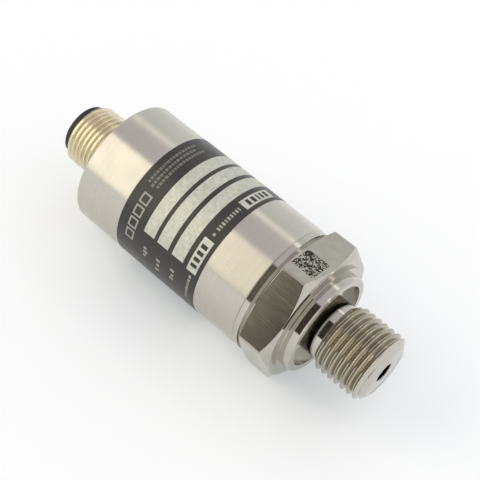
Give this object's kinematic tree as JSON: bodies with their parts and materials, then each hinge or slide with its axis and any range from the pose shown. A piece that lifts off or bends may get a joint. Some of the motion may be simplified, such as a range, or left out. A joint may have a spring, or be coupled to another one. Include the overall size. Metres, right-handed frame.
{
  "type": "pressure transmitter",
  "caption": "Steel pressure transmitter: round housing with a black and silver label, hexagon and threaded spigot at one end, threaded round plug at the other.",
  "frame": {"origin": "on the axis, in the plane of the collar's sealing face", "axes": "+X along the axis out of the process connection, -X out of the plug; +Z through the middle of one flat of the hexagon, upwards as the part lies"},
  "size_m": [0.0723, 0.0278, 0.0246],
  "materials": {
    "port_steel": "turned, satin",
    "cell_steel": "turned",
    "glass_frit": "fired",
    "silicon": "polished",
    "bond_wire": "drawn",
    "circuit_board": "solder mask",
    "carrier_plastic": "moulded",
    "header_pin": "gold plated",
    "chip_package": "moulded",
    "capacitor": "fired ceramic",
    "resistor": "glazed",
    "plug_shell": "nickel plated",
    "plug_insert": "moulded",
    "plug_contact": "gold plated",
    "seal_rubber": "moulded",
    "housing_steel": "fine ground",
    "label_foil": "printed foil, black with silver bars"
  },
  "bodies": {
    "root": {"board_carrier": "carrier_plastic", "board_spacer": "carrier_plastic", "bond_wires": "bond_wire", "capacitor_1": "capacitor", "capacitor_2": "capacitor", "capacitor_3": "capacitor", "capacitor_4": "capacitor", "chip_resistors": "resistor", "connector_insert": "plug_insert", "connector_shell": "plug_shell", "front_header_pins": "header_pin", "gauge_board": "circuit_board", "gauge_chip_left": "silicon", "gauge_chip_right": "silicon", "glass_layer": "glass_frit", "housing": "housing_steel", "insert_seal": "seal_rubber", "label": "label_foil", "main_board": "circuit_board", "measuring_cell": "cell_steel", "output_driver": "chip_package", "plug_board": "circuit_board", "plug_contact_1": "plug_contact", "plug_contact_2": "plug_contact", "plug_contact_3": "plug_contact", "plug_contact_4": "plug_contact", "pressure_port": "port_steel", "rear_header_pins": "header_pin", "shell_seal": "seal_rubber", "signal_processor": "chip_package", "surge_diode_left": "chip_package", "surge_diode_right": "chip_package", "voltage_regulator": "chip_package"}
  },
  "joints": []
}
